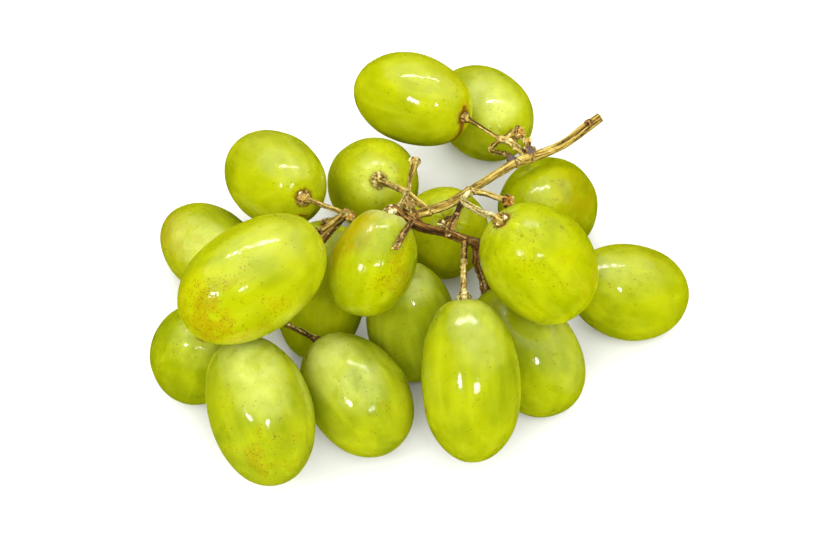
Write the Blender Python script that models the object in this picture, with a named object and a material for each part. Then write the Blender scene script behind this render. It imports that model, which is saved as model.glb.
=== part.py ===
"""Bunch of green table grapes, lying on a flat surface.

One branched stem carries eighteen oval berries.  The stem is a single solid:
the cut main stalk, its side branches, a short stalk to every berry with the
swollen collar that holds it, and the bare stubs of berries already picked.
Each berry is a solid of its own, seated on its collar with a hair's gap.

Metres, +Z up.  The origin is on the resting surface under the middle of the
bunch.  Sizes below are in millimetres and are turned to metres by MM.  Points
are measured from under the crown of the stem, and MIDDLE is where the middle
of the bunch lies from there.
"""
import math
import random

import bmesh
import bpy
from mathutils import Matrix, Vector

MM = 0.001

# Driving dimensions, in millimetres
MIDDLE = (0.3, 9.1)         # middle of the bunch, from under the crown of the stem
BERRY_SIDES = 18            # facets round a berry
BARREL = 0.92               # below 1 the berry's side is fuller than an ellipse
DIMPLE_DEPTH = 0.8          # hollow at the stem end, where the collar sits
DIMPLE_RADIUS = 2.6
PRESSED_FLAT = 0.4          # depth by which a resting berry is flattened
CLEARANCE = 0.4             # gap between a collar and its berry
STALK_RADIUS = 1.5          # main stalk
LATERAL_RADIUS = 1.2        # side branches
PEDICEL_RADIUS = 0.9        # short stalk of one berry
COLLAR_RADIUS = 2.0         # swollen end of a pedicel
COLLAR_LENGTH = 2.2
COLLAR_SEAT = 1.5           # radius of the collar's face against the berry
COLLAR_RINGS = ((0.75, 0.97), (0.3, 0.9))   # shares of its length back, and of its radius
PATH_STEP = 3.2             # spacing of the rings along a branch
BRANCH_SIDES = 8            # facets round a branch
PEDICEL_SIDES = 7           # facets round a pedicel or a stub

# Angles from the stem end to the tip at which a berry's rings are set, in degrees
RING_ANGLES = (5, 11, 19, 31, 46, 62, 78, 94, 110, 126, 142, 157, 169)

# Forks and bends of the stem, in millimetres
POINTS = {
    "cut_end": (42.5, 38.0, 30.0),
    "stalk_bend": (33.0, 31.5, 27.0),
    "stalk_knot": (25.5, 26.5, 28.0),
    "far_fork": (22.0, 24.5, 28.5),
    "stalk_mid": (13.5, 14.0, 32.5),
    "near_fork": (11.0, 10.0, 34.5),
    "stalk_low": (6.5, 5.0, 36.0),
    "back_fork": (2.0, 2.0, 37.0),
    "crown": (-1.5, 0.0, 38.0),
    "crown_end": (-4.5, 0.0, 40.0),
    "cross_a": (2.5, -1.0, 35.5),
    "cross_b": (6.0, -2.0, 34.5),
    "cross_c": (10.0, -1.5, 31.5),
    "cross_d": (12.5, -0.5, 29.0),
    "front_drop": (13.5, -1.0, 24.0),
    "front_bend": (9.5, -8.5, 32.5),
    "bridge": (9.5, 5.0, 37.0),
    "bridge_bend": (13.0, -0.5, 39.5),
    "far_a": (19.5, 29.0, 25.5),
    "far_b": (17.0, 30.5, 26.5),
    "far_c": (19.0, 33.0, 27.5),
    "twig_a": (22.3, 29.5, 28.6),
    "twig_b": (20.6, 31.5, 28.2),
    "back_knee": (-2.5, 6.5, 37.5),
    "back_end": (-4.5, 10.5, 35.0),
    "left_bend": (-10.5, 0.0, 34.5),
    "left_fork": (-15.5, -0.5, 39.0),
    "under_a": (-24.0, -9.0, 33.0),
    "under_b": (-29.0, -18.5, 24.5),
    "under_c": (-36.0, -13.5, 27.0),
    "under_d": (-33.0, -7.0, 29.0),
    "right_fork": (24.0, 0.0, 24.0),
}

# Branches: the points each one runs through, and its radius at both ends
BRANCHES = (
    (("cut_end", "stalk_bend", "stalk_knot", "far_fork", "stalk_mid", "near_fork"),
     STALK_RADIUS, STALK_RADIUS),
    (("near_fork", "stalk_low", "back_fork", "crown", "crown_end"), STALK_RADIUS, 1.35),
    (("crown", "cross_a", "cross_b", "cross_c", "cross_d", "front_drop"), 1.35, 0.95),
    (("near_fork", "bridge", "bridge_bend"), 1.0, 1.0),
    (("bridge", "cross_b"), 1.05, 1.05),
    (("far_fork", "far_a", "far_b", "far_c"), 1.05, 0.95),
    (("stalk_knot", "twig_a", "twig_b", "far_c"), 1.0, 0.95),
    (("back_fork", "back_knee", "back_end"), 1.1, 0.95),
    (("crown_end", "back_knee"), 1.0, 1.0),
    (("crown_end", "left_bend", "left_fork"), 1.35, LATERAL_RADIUS),
    (("left_fork", "under_a", "under_b"), LATERAL_RADIUS, 1.1),
    (("under_a", "under_d"), 1.1, 1.0),
    (("under_a", "under_c"), 1.1, 1.0),
    (("cross_d", "right_fork"), 1.2, 1.1),
    (("cross_c", "front_bend"), 1.1, 1.0),
)

# Swellings where branches part, and the radius of each
KNOTS = {
    "far_fork": 1.8, "near_fork": 1.9, "back_fork": 1.7, "crown": 1.9, "crown_end": 1.7,
    "cross_b": 1.6, "cross_c": 1.5, "cross_d": 1.4, "front_drop": 1.15, "front_bend": 1.2,
    "bridge": 1.3, "bridge_bend": 1.2, "far_a": 1.3, "far_c": 1.35, "back_knee": 1.4,
    "back_end": 1.15, "left_fork": 1.7, "under_a": 1.4, "under_b": 1.35, "under_c": 1.2,
    "under_d": 1.2, "right_fork": 1.4, "stalk_knot": 1.8,
}

# The rim of a bare stub: how far it reaches past the last point, and its share of
# the end's radius
STUB_RIM = ((0.5, 0.95), (1.2, 1.0), (1.5, 0.7))

# Bare stubs left by picked berries and broken shoots: the radius of the end, the
# point each leaves, and the points it runs through
STUBS = (
    (1.6, "near_fork", (15.0, 11.0, 33.5), (19.0, 10.5, 31.5)),
    (1.5, "back_knee", (-2.0, 11.0, 37.0), (-1.0, 14.5, 38.5)),
    (1.6, "far_c", (21.0, 34.0, 27.0), (22.5, 34.0, 28.0)),
    (1.4, "stalk_knot", (25.5, 27.2, 29.0), (25.4, 27.8, 29.8)),
    (1.4, "crown", (-2.0, 0.0, 40.0), (-2.0, -0.5, 41.0)),
    (1.0, "crown", (0.3, -5.5, 41.5), (-2.6, -12.0, 45.2), (-4.5, -15.3, 45.3)),
    (1.2, "cross_b", (5.5, -2.0, 36.0), (5.0, -2.0, 37.0)),
    (1.5, "left_fork", (-15.5, -1.0, 40.0), (-15.5, -1.5, 40.5)),
)

# Berries: the point of the stem that carries it, the centre of the berry, the
# compass heading and the dip of its tip in degrees, its length and its girth.
# A height of None rests the berry on the surface.
BERRIES = (
    ("far_c", (-1.5, 47.0, 26.5), 145, 10, 31.0, 21.5),
    ("far_a", (16.0, 57.5, None), 115, 20, 33.0, 22.5),
    ("left_fork", (-32.5, 21.5, 27.0), 120, 25, 33.0, 21.0),
    ("left_fork", (-33.5, -22.5, 44.0), -140, 5, 33.5, 22.5),
    ("back_end", (-11.0, 30.5, None), 100, 50, 33.0, 22.0),
    ("crown_end", (-10.0, -12.0, 36.5), -115, 35, 23.0, 18.0),
    ("bridge_bend", (25.0, -12.5, 36.5), -20, 50, 28.0, 23.0),
    ("right_fork", (30.0, 25.5, None), 75, 35, 31.5, 23.5),
    ("right_fork", (47.5, 0.5, None), 15, 30, 29.5, 22.0),
    ("front_bend", (10.5, -32.0, 22.5), -85, 35, 34.5, 21.0),
    ("front_drop", (23.5, -16.0, None), -55, 20, 31.5, 22.5),
    ("cross_b", (6.0, 14.5, None), 95, 60, 33.0, 21.0),
    ("crown", (-2.0, -10.0, None), -75, 70, 29.0, 20.0),
    ("left_fork", (-22.0, -2.0, None), -105, 60, 33.0, 20.5),
    ("under_b", (-13.5, -29.5, 14.0), -56, 10, 29.5, 21.5),
    ("under_b", (-32.8, -39.7, 22.5), -69, 25, 31.5, 21.5),
    ("under_c", (-48.5, -19.0, None), 135, 70, 28.0, 20.5),
    ("under_d", (-48.5, 14.0, None), 125, 25, 34.0, 20.0),
)


def clear_scene():
    for item in list(bpy.data.objects):
        bpy.data.objects.remove(item, do_unlink=True)


def make_material(name, colour, roughness):
    material = bpy.data.materials.new(name)
    material.use_nodes = True
    shader = material.node_tree.nodes["Principled BSDF"]
    shader.inputs["Base Color"].default_value = (*colour, 1.0)
    shader.inputs["Roughness"].default_value = roughness
    shader.inputs["Metallic"].default_value = 0.0
    material.diffuse_color = (*colour, 1.0)
    return material


def add_object(name, mesh, material, collection=None):
    item = bpy.data.objects.new(name, mesh)
    mesh.materials.append(material)
    (collection or bpy.context.scene.collection).objects.link(item)
    return item


def heading(compass, dip):
    """Unit vector that points along a compass angle and dips below level."""
    level = math.cos(math.radians(dip))
    return Vector((level * math.cos(math.radians(compass)),
                   level * math.sin(math.radians(compass)),
                   -math.sin(math.radians(dip))))


def facing(direction):
    """Rotation that turns local +Z along direction."""
    return direction.to_track_quat("Z", "Y").to_matrix().to_4x4()


def ring(bm, centre, frame, radius, sides):
    """One loop of vertices round centre, in the plane square to the frame's Z."""
    loop = []
    for side in range(sides):
        turn = 2 * math.pi * side / sides
        spoke = Vector((math.cos(turn), math.sin(turn), 0.0)) * radius
        loop.append(bm.verts.new(centre + frame @ spoke))
    return loop


def bridge(bm, low, high):
    """Quads between two loops of the same length."""
    count = len(low)
    for side in range(count):
        after = (side + 1) % count
        bm.faces.new((low[side], low[after], high[after], high[side]))


def fan(bm, loop, pole):
    count = len(loop)
    for side in range(count):
        bm.faces.new((loop[side], loop[(side + 1) % count], pole))


# Berries -------------------------------------------------------------------

def berry_profile(length, girth, fullness, angle):
    """Height and radius of the skin at an angle from the stem end."""
    swing = math.radians(angle)
    radius = girth / 2 * math.sin(swing) ** BARREL * (1 - fullness * math.cos(swing))
    dimple = DIMPLE_DEPTH * math.exp(-(radius / DIMPLE_RADIUS) ** 2)
    height = -length / 2 * math.cos(swing)
    if angle < 90:
        height += dimple
    return height, radius


def berry_mesh(name, number, length, girth):
    """A barrel-shaped oval, stem end down its local -Z, a little bowed and full."""
    draw = random.Random(number)
    fullness = draw.uniform(-0.01, 0.05)
    bow = draw.uniform(0.2, 0.8)
    bow_turn = draw.uniform(0, 2 * math.pi)
    bow_side = Vector((math.cos(bow_turn), math.sin(bow_turn), 0.0))
    bm = bmesh.new()
    loops = []
    for angle in RING_ANGLES:
        height, radius = berry_profile(length, girth, fullness, angle)
        shift = bow * ((2 * height / length) ** 2 - 0.5)
        centre = Vector((0, 0, height)) + bow_side * shift
        loops.append(ring(bm, centre * MM, Matrix.Identity(3), radius * MM, BERRY_SIDES))
    for low, high in zip(loops, loops[1:]):
        bridge(bm, low, high)
    pole_shift = bow_side * bow * 0.5
    stem_pole = Vector((0, 0, -length / 2 + DIMPLE_DEPTH)) + pole_shift
    tip_pole = Vector((0, 0, length / 2)) + pole_shift
    fan(bm, list(reversed(loops[0])), bm.verts.new(stem_pole * MM))
    fan(bm, loops[-1], bm.verts.new(tip_pole * MM))
    mesh = bpy.data.meshes.new(name)
    bm.to_mesh(mesh)
    bm.free()
    return mesh, stem_pole


def rest_on_surface(mesh, place):
    """Lower place until the berry is pressed into the surface, and cut it flat."""
    lowest = min((place @ vertex.co).z for vertex in mesh.vertices)
    place.translation.z -= lowest + PRESSED_FLAT * MM
    inverse = place.inverted()
    bm = bmesh.new()
    bm.from_mesh(mesh)
    cut = bmesh.ops.bisect_plane(
        bm, geom=bm.verts[:] + bm.edges[:] + bm.faces[:],
        plane_co=inverse @ Vector((0, 0, 0)),
        plane_no=inverse.to_3x3() @ Vector((0, 0, 1)),
        clear_inner=True)
    rim = [part for part in cut["geom_cut"] if isinstance(part, bmesh.types.BMEdge)]
    bmesh.ops.holes_fill(bm, edges=rim)
    bmesh.ops.recalc_face_normals(bm, faces=bm.faces[:])
    bm.to_mesh(mesh)
    bm.free()


def add_berry(number, berry, material):
    """Makes one berry.  Returns where its stem end is and which way its tip points."""
    _, centre, compass, dip, length, girth = berry
    name = "berry_%02d" % number
    mesh, stem_pole = berry_mesh(name, number, length, girth)
    tip = heading(compass, dip)
    place = facing(tip)
    rests = centre[2] is None
    place.translation = Vector((centre[0], centre[1], centre[2] or 0.0)) * MM
    if rests:
        rest_on_surface(mesh, place)
    mesh.shade_smooth()
    item = add_object(name, mesh, material)
    item.matrix_world = place
    return (place @ (stem_pole * MM)) / MM, tip


# Stem ----------------------------------------------------------------------

def smooth_path(points, step=PATH_STEP):
    """Catmull-Rom curve through the points, sampled about every step."""
    ends = [points[0] * 2 - points[1]] + list(points) + [points[-1] * 2 - points[-2]]
    path = []
    for before, start, end, after in zip(ends, ends[1:], ends[2:], ends[3:]):
        count = max(1, round((end - start).length / step))
        for index in range(count):
            t = index / count
            path.append(0.5 * (2 * start + (end - before) * t
                               + (2 * before - 5 * start + 4 * end - after) * t ** 2
                               + (3 * start - before - 3 * end + after) * t ** 3))
    path.append(points[-1])
    return path


def path_frames(path):
    """A rotation at each point of the path, carried along without twisting."""
    frames = []
    frame = None
    for index in range(len(path)):
        ahead = path[min(index + 1, len(path) - 1)] - path[max(index - 1, 0)]
        if frame is None:
            frame = facing(ahead.normalized()).to_3x3()
        else:
            turn = (frame @ Vector((0, 0, 1))).rotation_difference(ahead.normalized())
            frame = turn.to_matrix() @ frame
        frames.append(frame)
    return frames


def tube(name, path, radii, sides, material, collection):
    """A closed tube along path, in millimetres, with a radius at each point."""
    bm = bmesh.new()
    loops = []
    for point, frame, radius in zip(path, path_frames(path), radii):
        loops.append(ring(bm, point * MM, frame, radius * MM, sides))
    for low, high in zip(loops, loops[1:]):
        bridge(bm, low, high)
    bm.faces.new(list(reversed(loops[0])))
    bm.faces.new(loops[-1])
    mesh = bpy.data.meshes.new(name)
    bm.to_mesh(mesh)
    bm.free()
    return add_object(name, mesh, material, collection)


def blend(start, end, count):
    """count values from start to end, evenly spaced."""
    return [start + (end - start) * index / (count - 1) for index in range(count)]


def add_branch(number, branch, material, collection):
    names, first_radius, last_radius = branch
    path = smooth_path([Vector(POINTS[name]) for name in names])
    radii = blend(first_radius, last_radius, len(path))
    tube("branch_%d" % number, path, radii, BRANCH_SIDES, material, collection)


def pedicel_path(root, seat, tip):
    """Curve from the stem to a berry that arrives along the berry's own axis."""
    reach = (seat - root).length
    bend = seat - tip * min(0.45 * reach, 4.0)
    return smooth_path([root, root.lerp(bend, 0.55), bend, seat - tip * COLLAR_LENGTH])


def add_pedicel(number, berry, stem_end, tip, material, collection):
    """The short stalk of one berry, with the collar that seats it."""
    root = Vector(POINTS[berry[0]])
    seat = stem_end - tip * CLEARANCE
    path = pedicel_path(root, seat, tip)
    radii = [PEDICEL_RADIUS] * len(path)
    for back, share in COLLAR_RINGS + ((0.0, COLLAR_SEAT / COLLAR_RADIUS),):
        path.append(seat - tip * COLLAR_LENGTH * back)
        radii.append(COLLAR_RADIUS * share)
    tube("pedicel_%02d" % number, path, radii, PEDICEL_SIDES, material, collection)


def add_stub(number, stub, material, collection):
    """A bare pedicel that ends in the open collar of a picked berry."""
    end_radius, name, *bends = stub
    path = smooth_path([Vector(POINTS[name])] + [Vector(bend) for bend in bends])
    outward = (path[-1] - path[-2]).normalized()
    radii = [PEDICEL_RADIUS] * len(path)
    end = path[-1]
    for ahead, share in STUB_RIM:
        path.append(end + outward * ahead)
        radii.append(end_radius * share)
    tube("stub_%d" % number, path, radii, PEDICEL_SIDES, material, collection)


def add_knot(name, radius, material, collection):
    """A small ball that hides where the branches of one fork begin."""
    bm = bmesh.new()
    bmesh.ops.create_uvsphere(bm, u_segments=6, v_segments=4, radius=radius * MM)
    bmesh.ops.translate(bm, verts=bm.verts[:], vec=Vector(POINTS[name]) * MM)
    mesh = bpy.data.meshes.new("knot_" + name)
    bm.to_mesh(mesh)
    bm.free()
    add_object("knot_" + name, mesh, material, collection)


def fuse(name, collection, material):
    """One solid from all the tubes of the collection."""
    first = collection.objects[0]
    collection.objects.unlink(first)
    bpy.context.scene.collection.objects.link(first)
    union = first.modifiers.new("union", "BOOLEAN")
    union.operation = "UNION"
    union.operand_type = "COLLECTION"
    union.collection = collection
    union.solver = "MANIFOLD"
    fused = bpy.data.meshes.new_from_object(
        first.evaluated_get(bpy.context.evaluated_depsgraph_get()))
    for item in list(collection.objects) + [first]:
        bpy.data.objects.remove(item, do_unlink=True)
    bpy.data.collections.remove(collection)
    fused.materials.clear()
    fused.name = name
    fused.shade_smooth()
    return add_object(name, fused, material)


def build():
    clear_scene()
    skin = make_material("grape_skin", (0.50, 0.60, 0.03), 0.25)
    wood = make_material("stem_wood", (0.33, 0.23, 0.08), 0.7)
    tubes = bpy.data.collections.new("stem_tubes")
    bpy.context.scene.collection.children.link(tubes)
    for number, branch in enumerate(BRANCHES, 1):
        add_branch(number, branch, wood, tubes)
    for name, radius in KNOTS.items():
        add_knot(name, radius, wood, tubes)
    for number, stub in enumerate(STUBS, 1):
        add_stub(number, stub, wood, tubes)
    for number, berry in enumerate(BERRIES, 1):
        stem_end, tip = add_berry(number, berry, skin)
        add_pedicel(number, berry, stem_end, tip, wood, tubes)
    fuse("stem", tubes, wood)
    for item in bpy.context.scene.objects:
        item.location -= Vector((*MIDDLE, 0.0)) * MM


build()
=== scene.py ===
"""Bunch of green table grapes lying on a pale table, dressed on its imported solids."""
import math
import random

import bpy
import numpy as np
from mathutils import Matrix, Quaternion, Vector


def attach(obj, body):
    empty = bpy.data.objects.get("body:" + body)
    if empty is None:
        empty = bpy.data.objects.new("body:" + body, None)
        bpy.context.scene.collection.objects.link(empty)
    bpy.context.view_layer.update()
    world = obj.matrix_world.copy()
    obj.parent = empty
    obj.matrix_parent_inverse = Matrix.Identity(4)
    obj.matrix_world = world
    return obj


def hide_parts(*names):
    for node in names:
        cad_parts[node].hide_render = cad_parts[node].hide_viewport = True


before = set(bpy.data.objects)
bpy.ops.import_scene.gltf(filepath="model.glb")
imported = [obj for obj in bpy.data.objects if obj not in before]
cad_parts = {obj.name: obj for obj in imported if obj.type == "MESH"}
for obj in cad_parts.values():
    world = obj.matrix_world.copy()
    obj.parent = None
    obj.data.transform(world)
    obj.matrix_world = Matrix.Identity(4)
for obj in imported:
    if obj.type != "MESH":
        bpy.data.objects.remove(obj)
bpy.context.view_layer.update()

# Table, light and camera ----------------------------------------------------
# A plain matt white table top. Three overlapping softboxes and a strip light hang
# over it and two small lamps on the camera's side: the grapes mirror all of them.


def linear(code, alpha=1.0):
    """An sRGB hex colour as the linear values that Blender's sockets take."""
    parts = [int(code[i:i + 2], 16) / 255 for i in (1, 3, 5)]
    return (*[p / 12.92 if p <= 0.04045 else ((p + 0.055) / 1.055) ** 2.4 for p in parts], alpha)


def node(tree, kind, *ordered, **settings):
    """Adds a node. Its kind may be followed by its operation, and a shader node's leaves
    out ShaderNode. Its inputs come in the order of its sockets, or as a dictionary, and
    each is a value, or a socket or node to link from."""
    kind, _, operation = kind.partition(" ")
    made = tree.nodes.new(kind if "Node" in kind else "ShaderNode" + kind)
    if operation:
        made.operation = operation
    for name, value in settings.items():
        setattr(made, name, value)
    inputs = ordered[0] if ordered and isinstance(ordered[0], dict) else dict(enumerate(ordered))
    for key, value in inputs.items():
        if isinstance(value, bpy.types.Node):
            value = next(socket for socket in value.outputs if socket.enabled)
        if isinstance(value, bpy.types.NodeSocket):
            tree.links.new(value, made.inputs[key])
        else:
            made.inputs[key].default_value = value
    return made


def material(name, viewport):
    """An empty material and its node tree."""
    made = bpy.data.materials.new(name)
    made.use_nodes = True
    made.diffuse_color = linear(viewport)
    made.node_tree.nodes.clear()
    return made, made.node_tree


def placed(name, data):
    """A new object of the scene."""
    item = bpy.data.objects.new(name, data)
    bpy.context.scene.collection.objects.link(item)
    return item


MM = 0.001
middle = Vector((-0.3, -9.1, 20.0)) * MM

# Matt white laminate: even and soft, so that the fruit keeps the eye.
laminate, tree = material("white_matt_laminate", "#F2F2F0")
shader = node(tree, "BsdfPrincipled",
              {"Base Color": linear("#EEEEEC"), "Roughness": 0.75, "Specular IOR Level": 0.2})
node(tree, "OutputMaterial", {"Surface": shader})
top = bpy.data.meshes.new("table_top")
reach = 1.5
top.from_pydata([(-reach, -reach, 0), (reach, -reach, 0), (reach, reach, 0), (-reach, reach, 0)],
                [], [(0, 1, 2, 3)])
top.materials.append(laminate)
table_top = placed("table_top", top)
# The table lights the fruit from below but is kept out of its gloss, as by a black flag
table_top.visible_glossy = False

# Each lamp is a flat white rectangle that faces the bunch: its place from the middle of
# the bunch, its size in metres and its radiance. The fill reaches into the gaps between
# the berries but is too diffuse to be mirrored.
for name, place, size, radiance in (
        ("softbox_wide", (0.05, 0.35, 1.02), (2.6, 2.3), 0.2),
        ("softbox_left", (-0.22, 0.35, 1.00), (1.4, 1.6), 0.3),
        ("softbox_right", (0.45, 0.25, 0.98), (1.3, 1.9), 0.24),
        ("strip_light", (-0.05, 0.45, 0.89), (0.85, 0.022), 34.0),
        ("small_lamp_left", (-0.46, -0.53, 0.71), (0.12, 0.09), 30.0),
        ("small_lamp_right", (0.18, -0.61, 0.77), (0.10, 0.08), 30.0),
        ("front_fill", (0.0, -0.80, 0.95), (1.0, 0.8), 6.0)):
    light = bpy.data.lights.new(name, "AREA")
    light.shape = "RECTANGLE"
    light.size, light.size_y = size
    light.energy = radiance * math.pi * size[0] * size[1]
    lamp = placed(name, light)
    lamp.location = middle + Vector(place)
    lamp.rotation_euler = (-Vector(place)).to_track_quat("-Z", "Y").to_euler()
    lamp.visible_glossy = name != "front_fill"

room = bpy.data.worlds.new("room")
room.use_nodes = True
room.node_tree.nodes["Background"].inputs["Color"].default_value = linear("#FFFFFF")
room.node_tree.nodes["Background"].inputs["Strength"].default_value = 0.8
room.cycles_visibility.glossy = False
bpy.context.scene.world = room
bpy.context.scene.view_settings.view_transform = "Standard"

tilt = math.radians(50)
distance = 0.35
camera = placed("camera", bpy.data.cameras.new("camera"))
camera.data.lens = 67.66
camera.data.clip_start = 0.01
camera.location = middle + distance * Vector((0, -math.cos(tilt), math.sin(tilt)))
camera.rotation_euler = (math.pi / 2 - tilt, 0, 0)
bpy.context.scene.camera = camera

# Berries --------------------------------------------------------------------
# Oval seedless grapes: a thin waxy skin over clear juicy flesh. Each one hangs by
# its stem end, where the skin is drawn in and pleated round the collar. Berries
# that lie on the table have a small flat pressed into them.

PI = math.pi


def growth(name, made, inputs):
    """A Geometry Nodes tree with named inputs, given by their kinds. Returns it and the
    inputs' sockets."""
    tree = bpy.data.node_groups.new(name, "GeometryNodeTree")
    tree.interface.new_socket(name=made, in_out="OUTPUT", socket_type="NodeSocketGeometry")
    for kind, titles in inputs.items():
        for title in titles:
            tree.interface.new_socket(name=title, in_out="INPUT", socket_type="NodeSocket" + kind)
    return tree, node(tree, "NodeGroupInput").outputs


def finished(tree, shape, finish):
    """Ends a tree in one smooth plain mesh, with no instances, in its material."""
    shape = node(tree, "GeometryNodeSetShadeSmooth", {"Geometry": shape})
    shape = node(tree, "GeometryNodeRealizeInstances", {"Geometry": shape})
    shape = node(tree, "GeometryNodeSetMaterial", {"Geometry": shape, "Material": finish})
    node(tree, "NodeGroupOutput", shape)


def grown(name, tree, values, start=None):
    """The plain mesh object that a node tree makes from the given inputs."""
    item = placed(name, start or bpy.data.meshes.new(name))
    modifier = item.modifiers.new("grow", "NODES")
    modifier.node_group = tree
    for socket in tree.interface.items_tree:
        if socket.in_out == "INPUT" and socket.name in values:
            modifier[socket.identifier] = values[socket.name]
    graph = bpy.context.evaluated_depsgraph_get()
    mesh = bpy.data.meshes.new_from_object(item.evaluated_get(graph),
                                           preserve_all_data_layers=True, depsgraph=graph)
    item.modifiers.clear()
    item.data = mesh
    mesh.name = name
    return item


# Grape skin: a thin waxy cuticle over wet translucent flesh, so light soaks in and
# glows back yellow-green while the wax mirrors small lamps sharply. Patterns are in
# millimetres, moved on from berry to berry so that no two are alike.
SHIFT = (37.0, 19.0, 11.0)
skin, tree = material("waxy_grape_skin", "#BFCC10")
look = {name: node(tree, "Attribute", attribute_name=name).outputs["Fac"]
        for name in ("number", "ripeness", "worn", "dull", "wilted", "russet", "freckled",
                     "amber", "bloom", "scar", "crack", "stem_end", "pleat")}
apart = node(tree, "VectorMath SCALE", {0: SHIFT, "Scale": look["number"]})
place = node(tree, "Attribute", attribute_name="skin").outputs["Vector"]
lengthwise = node(tree, "VectorMath MULTIPLY", place, (1.0, 1.0, 0.1))
lengthwise = node(tree, "VectorMath ADD", lengthwise, apart)
place = node(tree, "VectorMath ADD", place, apart)
# Ripeness wanders over about 9 mm, and faint veins run from stem end to tip. Each berry's own amount is
# partly its ripeness and partly painted light and shade, which lightens or darkens the whole berry.
ripe = node(tree, "TexNoise", {"Vector": place, "Scale": 0.11, "Detail": 2.0, "Distortion": 0.5})
ripe = node(tree, "MapRange", ripe, 0.3, 0.7, -0.35, 0.35)
ripe = node(tree, "Math ADD", ripe, look["ripeness"])
flesh = node(tree, "Mix", {0: ripe, 6: linear("#849000"), 7: linear("#B0B602")}, data_type="RGBA")
vein = node(tree, "TexNoise", {"Vector": lengthwise, "Scale": 0.5, "Detail": 3.0})
vein = node(tree, "MapRange", vein, 0.45, 0.75, 0.0, 0.3)
# Bloom and painted sheen: pale powdery wax over the flesh, thick on one side and rubbed off elsewhere.
# It is partly real bloom and partly a painted reflection of the overhead lights on the side each berry
# turns up.
powder = node(tree, "TexNoise",
              {"Vector": place, "Scale": 0.25, "Detail": 4.0, "Roughness": 0.6, "Distortion": 0.4})
powder = node(tree, "MapRange", powder, 0.3, 0.65, 0.25, 1.0)
bloom = node(tree, "Math MULTIPLY", look["bloom"], powder)
bloom = node(tree, "Math MULTIPLY", bloom, 0.45)
# Amber sunburn in loose patches
blotch = node(tree, "TexNoise", {"Vector": place, "Scale": 0.35, "Detail": 5.0, "Roughness": 0.65})
burn = node(tree, "Math ADD", look["amber"], blotch)
burn = node(tree, "MapRange", burn, 0.85, 1.3, 0.0, 0.5)
# Lenticels: brown corky pores about 0.25 mm wide, crowded where the berry is freckled
crowd = node(tree, "TexNoise", {"Vector": place, "Scale": 0.22, "Detail": 2.0})
crowd = node(tree, "MapRange", crowd, 0.42, 0.62, 0.05, 1.0)
crowd = node(tree, "Math MULTIPLY", crowd, look["freckled"])
smudge = node(tree, "Math MULTIPLY", crowd, blotch)
smudge = node(tree, "MapRange", smudge, 0.2, 0.6, 0.0, 0.5)
pore = node(tree, "TexVoronoi", {"Vector": place, "Scale": 3.0})
rolled = node(tree, "SeparateColor", pore.outputs["Color"])
size = node(tree, "Math POWER", rolled.outputs[1], 2.0)
size = node(tree, "MapRange", {0: size, 3: 0.2, 4: 0.6})
present = node(tree, "Math LESS_THAN", rolled.outputs[0], crowd)
size = node(tree, "Math MULTIPLY", size, present)
pore = node(tree, "Math SUBTRACT", pore.outputs["Distance"], size)
pore = node(tree, "MapRange", pore, 0.0, -0.1, 0.0, 0.7)
# Scratches: thin olive lines where a slow noise crosses its middle, in few places
line = node(tree, "TexNoise", {"Vector": place, "Scale": 0.3, "Detail": 2.0, "Distortion": 0.3})
line = node(tree, "Math SUBTRACT", line, 0.5)
line = node(tree, "Math ABSOLUTE", line)
line = node(tree, "MapRange", line, 0.012, 0.004)
where = node(tree, "TexNoise", {"Vector": place, "Scale": 0.2, "Detail": 3.0})
where = node(tree, "Math MULTIPLY_ADD", look["worn"], 0.25, where)
where = node(tree, "MapRange", where, 0.66, 0.76, 0.0, 0.4)
line = node(tree, "Math MULTIPLY", line, where)
# Scars and cracks: brown cork with a ragged edge, the scar in a halo of amber
fray = node(tree, "TexNoise", {"Vector": place, "Scale": 1.1, "Detail": 5.0, "Roughness": 0.7})
healed = []
for mark, reach, low, share, code in (("scar", 2.6, 0.9, 0.6, "#B08A08"),
                                      ("scar", 1.1, 0.75, 0.85, "#744210"),
                                      ("crack", 1.1, 0.8, 0.85, "#4E3A08")):
    close = node(tree, "Math MULTIPLY_ADD", fray, 1.4, look[mark])
    close = node(tree, "MapRange", close, 0.7 + reach, 0.7 + low, 0.0, share)
    healed.append((close, code))
# Russet: a brown ring round the collar that frays outwards along the pleats, and the
# pale dry skin of berries that wilt there
frayed = node(tree, "Math MULTIPLY_ADD", fray, -2.2, look["stem_end"])
frayed = node(tree, "Math MULTIPLY_ADD", look["pleat"], 1.2, frayed)
dry = node(tree, "Math MULTIPLY_ADD", look["wilted"], -4.0, frayed)
dry = node(tree, "MapRange", dry, 1.6, -1.0, 0.0, 0.4)
dry = node(tree, "Math MULTIPLY", dry, look["wilted"])
russet = node(tree, "MapRange", frayed, 1.35, 0.7)
russet = node(tree, "Math MULTIPLY", russet, look["russet"])
# The layers of colour, from the flesh outwards. The bloom layer is partly a painted sheen.
for share, code in ((vein, "#C0C824"), (bloom, "#D6DE78"), (burn, "#A68606"), (smudge, "#A08404"),
                    (pore, "#6E4A04"), (line, "#5C5206"), *healed, (dry, "#C6C68E"),
                    (russet, "#845614")):
    flesh = node(tree, "Mix", {0: share, 6: flesh, 7: linear(code)}, data_type="RGBA")
# Gloss: the wax is smooth in places and hazy in others, and gone in the hollow
gloss = node(tree, "MapRange", blotch, 0.4, 0.65, 0.26, 0.42)
gloss = node(tree, "Math MULTIPLY_ADD", russet, 0.4, gloss)
wax = node(tree, "Math SUBTRACT", 1.0, look["dull"])
facing = node(tree, "LayerWeight", {"Blend": 0.5}).outputs["Facing"]
facing = node(tree, "MapRange", facing, 0.95, 0.6)
hollow = node(tree, "MapRange", look["stem_end"], 1.8, 3.6)
for factor in (facing, hollow):
    wax = node(tree, "Math MULTIPLY", wax, factor)
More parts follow.
